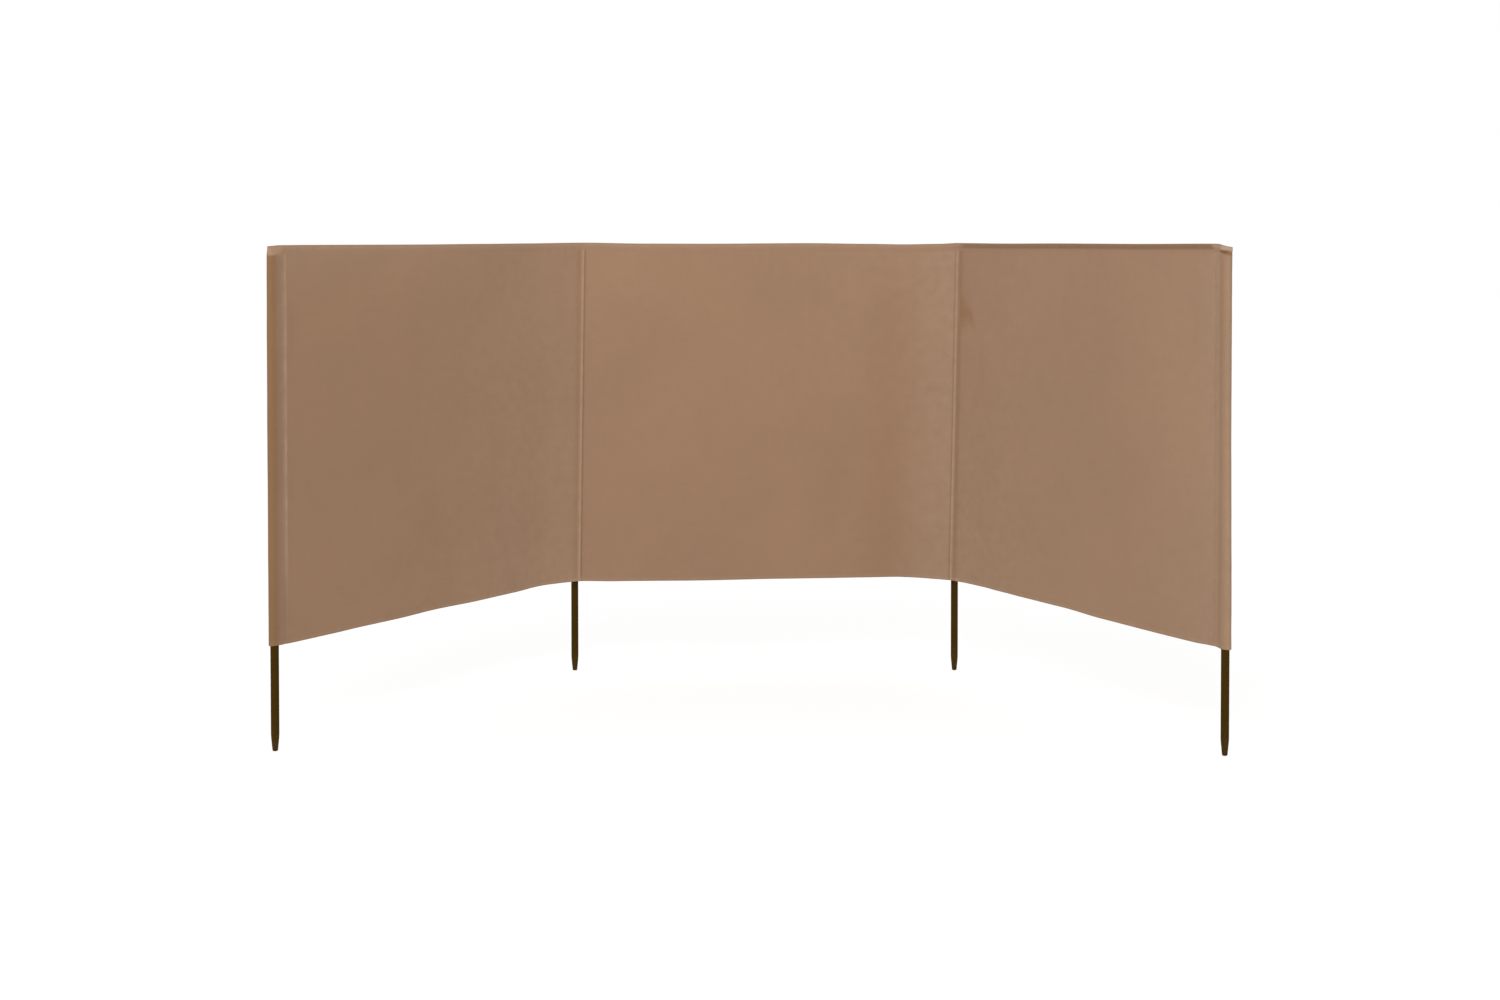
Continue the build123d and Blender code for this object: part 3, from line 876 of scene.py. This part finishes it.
for side in ("left", "right"):
    before = seamOrder[side][0]
    axis = poleAxes[f"{side}_inner"]
    toSeam = seamAxes[side] - axis
    toSeam = toSeam / np.hypot(*toSeam)
    aside = np.array([-toSeam[1], toSeam[0]])
    rings = []
    for height, half in innerTunnel["halfRings"]:
        rings.append((height, half + [(toward, -off) for toward, off in half[-2::-1]]))
    columns = ringColumns(rings)
    middle = columns[-1] / 2
    level = middle - innerTunnel["levelPlaces"]
    slope = innerTunnel["topSlope"] * smoothStep(np.abs(columns - middle), level, 1)
    seamTop, seamBottom = edgeHeights(before, np.ones(1))[:2]
    top = seamTop - innerTunnel["topDrop"] - slope
    z = rowHeights(top, seamBottom + innerTunnel["bottomRise"] + 0 * columns)
    local = ringPlaces(rings, columns, pressedShut(z, top, slope))
    plan = axis + local[..., :1] * toSeam + local[..., 1:] * aside
    plan[..., 0] += leanAt(side, z) * smoothStep(local[..., 0], *innerTunnel["leanFrom"])
    hemmed = smoothStep(seamTop - z, *innerTunnel["topHem"])
    hemmed = hemmed + smoothStep(z - seamBottom, *innerTunnel["bottomHem"])
    behind = innerTunnel["behind"] + innerTunnel["behindHem"] * np.clip(hemmed, 0, 1)
    for name, edge in zip(seamOrder[side], (columns[-1] - columns, columns)):
        fromSeam = innerTunnel["flange"] * (1 - innerTunnel["flangeStep"] * np.clip(edge, 0, 2)) + 0 * z
        along = lines[name]["length"] - fromSeam if name == before else fromSeam
        sewn = smoothStep(edge, *innerTunnel["sewn"])[None, :, None]
        plan = plan * (1 - sewn) + inBay(name, along, behind, z) * sewn
    hemShare = thinnedHem(columns, middle, sleeveGrid["hemShare"])
    points, inward = clothPoints(plan, rowRear[:, None] * hemShare, z)
    # painted highlight along the folded edges of the tunnel's hems
    paintedLight = band(z[hem["fold"]] - z, *innerTunnel["edgeHighlight"])
    paintedLight = paintedLight + band(z - z[rowCount - 1 - hem["fold"]], *innerTunnel["edgeHighlight"])
    piece = clothObject(f"{side}_inner_tunnel", points, flatLay(points), 0 * z, paintedLight)
    tunnels[side] = {"points": points, "inward": inward, "columns": columns, "piece": piece}
    print(side, "inner tunnel:", len(columns), "columns")

# stitches: one modelled, then repeated along each row
stitch = {
    "pitch": 4.6 * mm,
    "length": 3.3 * mm,
    "thickness": 0.56 * mm,
    "lift": 0.42 * mm,
    "segments": 6,
    "rings": 4,
}
deselectAll()
bpy.ops.mesh.primitive_uv_sphere_add(
    segments=stitch["segments"], ring_count=stitch["rings"], radius=0.5, location=(0, 0, 0))
pattern = bpy.context.object
bpy.ops.object.mode_set(mode="EDIT")
bpy.ops.mesh.select_all(action="SELECT")
bpy.ops.transform.rotate(value=math.pi / 2, orient_axis="Y", center_override=(0, 0, 0))
bpy.ops.transform.resize(value=(stitch["length"], stitch["thickness"], stitch["thickness"]))
bpy.ops.transform.translate(value=(stitch["pitch"] / 2, 0, 0))
bpy.ops.object.mode_set(mode="OBJECT")
bpy.ops.object.shade_smooth()


def stitchRow(points, outward):
    # a row of copies of the one stitch, laid along the points
    places = points + outward * stitch["lift"]
    curve = bpy.data.curves.new("row", "CURVE")
    curve.dimensions = "3D"
    curve.twist_mode = "MINIMUM"
    spline = curve.splines.new("POLY")
    spline.points.add(len(places) - 1)
    spline.points.foreach_set("co", np.column_stack([places, np.ones(len(places))]).ravel())
    line = bpy.data.objects.new("row", curve)
    bpy.context.scene.collection.objects.link(line)
    length = np.linalg.norm(np.diff(places, axis=0), axis=1).sum()
    pickOnly(pattern)
    bpy.ops.object.duplicate()
    row = bpy.context.object
    applyModifier(
        row, "ARRAY", count=int(length / stitch["pitch"]), use_relative_offset=False,
        use_constant_offset=True, constant_offset_displace=(stitch["pitch"], 0, 0))
    applyModifier(row, "CURVE", object=line)
    bpy.data.objects.remove(line)
    return row


def stitchObject(name, rows):
    deselectAll()
    for row in rows:
        row.select_set(True)
    bpy.context.view_layer.objects.active = rows[0]
    bpy.ops.object.join()
    piece = bpy.context.object
    piece.name = name
    piece.data.name = name
    print(name, len(piece.data.polygons) // len(pattern.data.polygons), "stitches")
    return piece


def nearest(marks, mark):
    return int(np.abs(marks - mark).argmin())


lastRow = rowCount - 1
hemLines = [(hem["frontStitch"], -1), (hem["rearStitch"], 1)]
hemLines += [(lastRow - row, way) for row, way in hemLines]
openRows = slice(hem["frontStitch"] + 2, lastRow - hem["frontStitch"] - 1)
uprights = {
    "left": {"leftSleeve": leftSleeve["stitches"], "leftSeam": [-seamRidge["outerStitch"]]},
    "middle": {"leftSeam": [seamRidge["innerStitch"]], "rightSeam": [-seamRidge["innerStitch"]]},
    "right": {"rightSleeve": rightSleeve["stitches"], "rightSeam": [seamRidge["outerStitch"]]},
}
stitchPieces = {}
for name, first, last in zip(bayCloth, cuts, cuts[1:]):
    part = slice(first, last + 1)
    rows = [stitchRow(clothGrid[row, part], clothInward[row, part] * way) for row, way in hemLines]
    for label, marks in uprights[name].items():
        for mark in marks:
            column = starts[label] + nearest(runs[label]["mark"], mark)
            rows.append(stitchRow(clothGrid[openRows, column], -clothInward[openRows, column]))
    stitchPieces[name] = stitchObject(f"{name}_stitching", rows)
for side, tunnel in tunnels.items():
    points, inward, columns = tunnel["points"], tunnel["inward"], tunnel["columns"]
    rows = [stitchRow(points[row], -inward[row]) for row, way in hemLines if way < 0]
    for mark in (innerTunnel["stitches"], columns[-1] - innerTunnel["stitches"]):
        column = nearest(columns, mark)
        rows.append(stitchRow(points[openRows, column], -inward[openRows, column]))
    stitchPieces[f"{side}_inner"] = stitchObject(f"{side}_inner_stitching", rows)
bpy.data.objects.remove(pattern)

# poles: a capped ring drawn up from the tip, (height, radius) in mm
poleShape = {
    "sides": 40,
    "tip": [
        (0, 5.2), (0.35, 6.6), (1.1, 7.55), (2.6, 8.2), (8, 8.75), (20, 9.95), (34, 11.25), (40, 11.8),
        (45, 12.18), (50, 12.4), (56, 12.5)],
    "shaftStep": 90,
    "topEdge": 1,
    "smoothAngle": 40,
}
poles = {}
for side, axis in poleAxes.items():
    deselectAll()
    rings = list(poleShape["tip"])
    step, edge = poleShape["shaftStep"], poleShape["topEdge"]
    top, radius = poleTop / mm, poleRadius / mm
    rings += [(height, radius) for height in np.arange(rings[-1][0] + step, top - 2 * edge, step)]
    rings += [(top - edge, radius), (top, radius - edge)]
    bpy.ops.mesh.primitive_circle_add(
        vertices=poleShape["sides"], radius=rings[0][1] * mm, fill_type="NGON",
        location=(axis[0], axis[1], 0))
    piece = bpy.context.object
    piece.name = f"{side}_tube"
    bpy.ops.object.transform_apply(location=True, rotation=True, scale=True)
    bpy.ops.object.mode_set(mode="EDIT")
    bpy.ops.mesh.select_all(action="SELECT")
    for (low, lowRadius), (high, highRadius) in zip(rings, rings[1:]):
        growth = highRadius / lowRadius
        bpy.ops.mesh.extrude_region_move(TRANSFORM_OT_translate={"value": (0, 0, (high - low) * mm)})
        bpy.ops.transform.resize(value=(growth, growth, 1), center_override=(axis[0], axis[1], high * mm))
    bpy.ops.mesh.select_all(action="SELECT")
    bpy.ops.mesh.normals_make_consistent(inside=False)
    bpy.ops.object.mode_set(mode="OBJECT")
    bpy.ops.object.shade_smooth_by_angle(angle=math.radians(poleShape["smoothAngle"]))
    poles[side] = piece
print("poles:", len(poles))


# materials

nodeGrid = {"rows": 4, "across": 220, "down": 320}


def addNode(tree, kind, **values):
    # nodes stand in the editor in the order they are made
    node = tree.nodes.new(kind)
    column, row = divmod(len(tree.nodes) - 1, nodeGrid["rows"])
    node.location = (nodeGrid["across"] * column, -nodeGrid["down"] * row)
    for name, value in values.items():
        setattr(node, name, value)
    return node


def feed(tree, socket, value):
    if isinstance(value, bpy.types.NodeSocket):
        tree.links.new(value, socket)
    elif value is not None:
        socket.default_value = value


def feedAll(tree, node, values):
    for name, value in values.items():
        feed(tree, node.inputs[name], value)


def mathNode(tree, operation, first, second=None):
    node = addNode(tree, "ShaderNodeMath", operation=operation)
    feedAll(tree, node, {0: first, 1: second})
    return node.outputs[0]


def product(tree, *factors):
    total = factors[0]
    for factor in factors[1:]:
        total = mathNode(tree, "MULTIPLY", total, factor)
    return total


def newGroup(name, inputs, outputs):
    # an input with no value is a vector, the others are numbers
    tree = bpy.data.node_groups.new(name, "ShaderNodeTree")
    for label, value in inputs.items():
        kind = "NodeSocketVector" if value is None else "NodeSocketFloat"
        feed(tree, tree.interface.new_socket(label, in_out="INPUT", socket_type=kind), value)
    for label in outputs:
        tree.interface.new_socket(label, in_out="OUTPUT", socket_type="NodeSocketFloat")
    return tree, addNode(tree, "NodeGroupInput").outputs, addNode(tree, "NodeGroupOutput")


def plainWeave():
    # over and under of two sets of threads, from a flat lay in metres
    tree, given, result = newGroup("plainWeave", {"Lay": None, "Pitch": 0.0009}, ["Height"])
    split = addNode(tree, "ShaderNodeSeparateXYZ")
    feed(tree, split.inputs[0], given["Lay"])
    turns = mathNode(tree, "DIVIDE", math.pi, given["Pitch"])
    across, down = [mathNode(tree, "SINE", product(tree, split.outputs[way], turns)) for way in "XY"]
    over = mathNode(tree, "GREATER_THAN", product(tree, across, down), 0.0)
    under = mathNode(tree, "SUBTRACT", 1.0, over)
    warp = product(tree, mathNode(tree, "ABSOLUTE", across), over)
    weft = product(tree, mathNode(tree, "ABSOLUTE", down), under)
    feed(tree, result.inputs["Height"], mathNode(tree, "ADD", warp, weft))
    return tree


def mottle():
    # soft change of tone over an area, as a factor about 1
    inputs = {"Place": None, "Scale": 5.0, "Amount": 0.1}
    tree, given, result = newGroup("mottle", inputs, ["Factor", "Mask"])
    noise = addNode(tree, "ShaderNodeTexNoise")
    feedAll(tree, noise, {
        "Vector": given["Place"], "Scale": given["Scale"], "Detail": 3.0, "Roughness": 0.5})
    centred = mathNode(tree, "SUBTRACT", noise.outputs["Fac"], 0.5)
    factor = mathNode(tree, "ADD", product(tree, centred, given["Amount"]), 1.0)
    feedAll(tree, result, {"Factor": factor, "Mask": noise.outputs["Fac"]})
    return tree


weaveGroup = plainWeave()
mottleGroup = mottle()


def useGroup(tree, group, vector, values):
    node = addNode(tree, "ShaderNodeGroup", node_tree=group)
    feedAll(tree, node, {0: vector, **values})
    return node.outputs


def clearTree(block, outputKind):
    block.use_nodes = True
    block.node_tree.nodes.clear()
    return block.node_tree, addNode(block.node_tree, outputKind).inputs["Surface"]


def newMaterial(name):
    material = bpy.data.materials.new(name)
    tree, surface = clearTree(material, "ShaderNodeOutputMaterial")
    shader = addNode(tree, "ShaderNodeBsdfPrincipled")
    feed(tree, surface, shader.outputs[0])
    return material, tree, shader


def mixColour(tree, mode, factor, first, second):
    node = addNode(tree, "ShaderNodeMix", data_type="RGBA", blend_type=mode)
    feedAll(tree, node, {0: factor, 6: first, 7: second})   # 6 and 7 are this node's colours
    return node.outputs[2]


def scaled(tree, colour, factor):
    node = addNode(tree, "ShaderNodeVectorMath", operation="SCALE")
    feedAll(tree, node, {0: colour, "Scale": factor})
    return node.outputs[0]


def mapped(tree, value, span, **values):
    node = addNode(tree, "ShaderNodeMapRange", **values)
    feedAll(tree, node, {"Value": value, "From Min": span[0], "From Max": span[1]})
    return node.outputs[0]


def bumped(tree, height, strength, distance):
    node = addNode(tree, "ShaderNodeBump")
    feedAll(tree, node, {"Height": height, "Strength": strength, "Distance": distance})
    return node.outputs[0]


clothLook = {
    "colour": (0.350, 0.213, 0.130),
    # colours that painted light and painted shade mix the cloth towards
    "paintedLightColour": (0.46, 0.315, 0.22, 1),
    "shadeColour": (0.72, 0.64, 0.50, 1),
    "roughness": 0.86,
    "weave": {"Pitch": 0.0008},
    "broad": {"Scale": 2.2, "Amount": 0.16},
    "fine": {"Scale": 26.0, "Amount": 0.07},
    "slubs": [((9, 420, 1), 0.10), ((420, 9, 1), 0.08)],   # uneven threads both ways: stretch, amount
    "threadTone": (0.16, 0.90),                            # share of the weave's height, and least tone
    "bump": (0.35, 0.0003),
    "sockets": {"Specular IOR Level": 0.2, "Sheen Weight": 0.06, "Sheen Roughness": 0.5},
}


def clothMaterial():
    material, tree, shader = newMaterial("woven_cloth")
    lay = addNode(tree, "ShaderNodeTexCoord").outputs["UV"]
    weave = useGroup(tree, weaveGroup, lay, clothLook["weave"])["Height"]
    broad = useGroup(tree, mottleGroup, lay, clothLook["broad"])
    fine = useGroup(tree, mottleGroup, lay, clothLook["fine"])
    factors = [broad["Factor"], fine["Factor"]]
    for stretch, amount in clothLook["slubs"]:
        spread = addNode(tree, "ShaderNodeMapping")
        feedAll(tree, spread, {"Vector": lay, "Scale": stretch})
        slub = useGroup(tree, mottleGroup, spread.outputs[0], {"Scale": 1.0, "Amount": amount})
        factors.append(slub["Factor"])
    share, least = clothLook["threadTone"]
    factors.append(mathNode(tree, "ADD", product(tree, weave, share), least))
    tone = scaled(tree, clothLook["colour"], product(tree, *factors))
    paintedLight, shade = [addNode(tree, "ShaderNodeAttribute", attribute_name=name) for name in ("paintedLight", "shade")]
    # painted light mixes the cloth paler in mottled patches, painted shade darkens it
    paintedLightShare = product(tree, paintedLight.outputs["Fac"], fine["Mask"])
    tone = mixColour(tree, "MIX", paintedLightShare, tone, clothLook["paintedLightColour"])
    tone = mixColour(tree, "MULTIPLY", shade.outputs["Fac"], tone, clothLook["shadeColour"])
    feedAll(tree, shader, {
        "Base Color": tone,
        "Roughness": product(tree, fine["Factor"], clothLook["roughness"]),
        "Normal": bumped(tree, weave, *clothLook["bump"]),
        **clothLook["sockets"],
    })
    return material


poleLook = {
    "colour": (0.052, 0.0262, 0.0024),
    "roughness": 0.55,
    "broad": {"Scale": 9.0, "Amount": 0.35},
    "speck": {"Scale": 260.0, "Amount": 0.25},
    "peel": {"Scale": 620.0, "Amount": 1.0},
    "soil": (0.16, 0.115, 0.075, 1),
    "soilHeight": (0.12, 0.0),   # soil and scuffs fade out above the tip
    "soilPatch": (0.5, 0.75),
    "soilShare": 0.5,
    "soilRoughness": 0.4,
    "bump": (0.25, 0.0002),
    "sockets": {"Specular IOR Level": 0.03},
}


def poleMaterial():
    material, tree, shader = newMaterial("pole_coat")
    place = addNode(tree, "ShaderNodeTexCoord").outputs["Object"]
    broad, speck, peel = [
        useGroup(tree, mottleGroup, place, poleLook[name]) for name in ("broad", "speck", "peel")]
    tone = scaled(tree, poleLook["colour"], product(tree, broad["Factor"], speck["Factor"]))
    split = addNode(tree, "ShaderNodeSeparateXYZ")
    feed(tree, split.inputs[0], place)
    low = mapped(tree, split.outputs["Z"], poleLook["soilHeight"], interpolation_type="SMOOTHSTEP")
    patch = mapped(tree, speck["Mask"], poleLook["soilPatch"])
    soiled = product(tree, low, patch, poleLook["soilShare"])
    rough = product(tree, speck["Factor"], poleLook["roughness"])
    feedAll(tree, shader, {
        "Base Color": mixColour(tree, "MIX", soiled, tone, poleLook["soil"]),
        "Roughness": mathNode(tree, "ADD", rough, product(tree, soiled, poleLook["soilRoughness"])),
        "Normal": bumped(tree, peel["Mask"], *poleLook["bump"]),
        **poleLook["sockets"],
    })
    return material


threadLook = {
    "colour": (0.40, 0.255, 0.165),
    "roughness": 0.7,
    "strand": {"Scale": 900.0, "Amount": 0.5},
    "broad": {"Scale": 7.0, "Amount": 0.2},
    "sockets": {"Specular IOR Level": 0.3},
}


def threadMaterial():
    material, tree, shader = newMaterial("sewing_thread")
    place = addNode(tree, "ShaderNodeTexCoord").outputs["Object"]
    strand, broad = [
        useGroup(tree, mottleGroup, place, threadLook[name])["Factor"] for name in ("strand", "broad")]
    feedAll(tree, shader, {
        "Base Color": scaled(tree, threadLook["colour"], product(tree, strand, broad)),
        "Roughness": product(tree, strand, threadLook["roughness"]),
        **threadLook["sockets"],
    })
    return material


cloth = clothMaterial()
thread = threadMaterial()
coat = poleMaterial()
print("materials made")


def dress(piece, material, slot, *replaced):
    piece.data.materials.clear()
    piece.data.materials.append(material)
    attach(piece, "root")
    if replaced:
        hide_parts(*replaced)


bayNodes = ["panel", "top_hem", "bottom_hem"]
endNodes = ["end_sleeve", "end_sleeve_top", "sleeve_flap", "seam"]
for name, piece in bayPieces.items():
    parts = bayNodes if name == "middle" else bayNodes + endNodes
    dress(piece, cloth, "cloth", *[f"{name}_{part}" for part in parts])
for side, tunnel in tunnels.items():
    dress(tunnel["piece"], cloth, "cloth", f"{side}_inner_sleeve", f"{side}_inner_sleeve_top")
for piece in stitchPieces.values():
    dress(piece, thread, "cloth")
for side, piece in poles.items():
    dress(piece, coat, "pole", f"{side}_pole")

# flat sizes: bays of a third of 4 m, with what the hems and sleeves take up
flat = {"bay": 1.333, "endSleeve": 0.12, "tunnel": 0.15, "height": 1.2 + 0.06}
for name, piece in bayPieces.items():
    width = flat["bay"] + (0 if name == "middle" else flat["endSleeve"])

# stage: white floor, soft light and the camera
stage = {
    "floorSize": 60,
    "floorPlace": (0.7, 10, -0.0006),
    "floorTone": 0.82,   # as it lights the object
    "seenTone": 0.34,    # as it is seen, with a glow that keeps it white
    "seenGlow": 0.74,
    "worldStrength": 0.80,
    "seenStrength": 1.0,
    "keyPower": 260,
    "keySize": 5,
    "keyPlace": (-0.9, -8.0, 5.4),
    "keyAim": (0.7, -0.4, 0.9),
}


def shaderNode(tree, kind, values):
    node = addNode(tree, kind)
    feedAll(tree, node, values)
    return node.outputs[0]


def seenApart(tree, surface, lighting, shown):
    # one shader lights the object, the other shows to the camera and in what shines
    ray = addNode(tree, "ShaderNodeLightPath").outputs
    factor = mathNode(tree, "MAXIMUM", ray["Is Camera Ray"], ray["Is Glossy Ray"])
    factor = mathNode(tree, "MAXIMUM", factor, ray["Is Transmission Ray"])
    feed(tree, surface, shaderNode(tree, "ShaderNodeMixShader", {0: factor, 1: lighting, 2: shown}))


def grey(tone):
    return (tone, tone, tone, 1)


deselectAll()
bpy.ops.mesh.primitive_plane_add(size=stage["floorSize"], location=stage["floorPlace"])
floor = bpy.context.object
floor.name = "floor"
material = bpy.data.materials.new("floor_white")
tree, surface = clearTree(material, "ShaderNodeOutputMaterial")
matt = shaderNode(tree, "ShaderNodeBsdfDiffuse", {"Color": grey(stage["floorTone"])})
pale = shaderNode(tree, "ShaderNodeBsdfDiffuse", {"Color": grey(stage["seenTone"])})
glow = shaderNode(tree, "ShaderNodeEmission", {"Strength": stage["seenGlow"]})
seenApart(tree, surface, matt, shaderNode(tree, "ShaderNodeAddShader", {0: pale, 1: glow}))
floor.data.materials.append(material)

world = bpy.data.worlds.new("studio")
bpy.context.scene.world = world
tree, surface = clearTree(world, "ShaderNodeOutputWorld")
soft, white = [
    shaderNode(tree, "ShaderNodeBackground", {"Color": grey(1), "Strength": stage[name]})
    for name in ("worldStrength", "seenStrength")]
seenApart(tree, surface, soft, white)

key = bpy.data.lights.new("key", "AREA")
key.energy = stage["keyPower"]
key.size = stage["keySize"]
lamp = bpy.data.objects.new("key", key)
bpy.context.scene.collection.objects.link(lamp)
lamp.location = stage["keyPlace"]
away = np.array(stage["keyPlace"]) - stage["keyAim"]
lamp.rotation_euler = (math.atan2(np.hypot(away[0], away[1]), away[2]), 0, math.atan2(away[0], -away[1]))

# camera at about the height of the upper edge, tipped down a little and shifted as in the photo
view = {
    "place": (0.776, -6.8336, 1.5423),
    "focalPixels": 1923,
    "centre": (792.2, 285.1),
    "frame": (1500, 1000),
    "tip": 1.4,
    "sensor": 36,
}
camera = bpy.data.cameras.new("camera")
camera.sensor_width = view["sensor"]
camera.lens = view["focalPixels"] / view["frame"][0] * camera.sensor_width
camera.shift_x = -(view["centre"][0] - view["frame"][0] / 2) / view["frame"][0]
camera.shift_y = (view["centre"][1] - view["frame"][1] / 2) / view["frame"][0]
cameraObject = bpy.data.objects.new("camera", camera)
bpy.context.scene.collection.objects.link(cameraObject)
cameraObject.location = view["place"]
cameraObject.rotation_euler = (math.radians(90 - view["tip"]), 0, 0)
bpy.context.scene.camera = cameraObject
bpy.context.scene.view_settings.view_transform = "Standard"
print("stage and camera set")
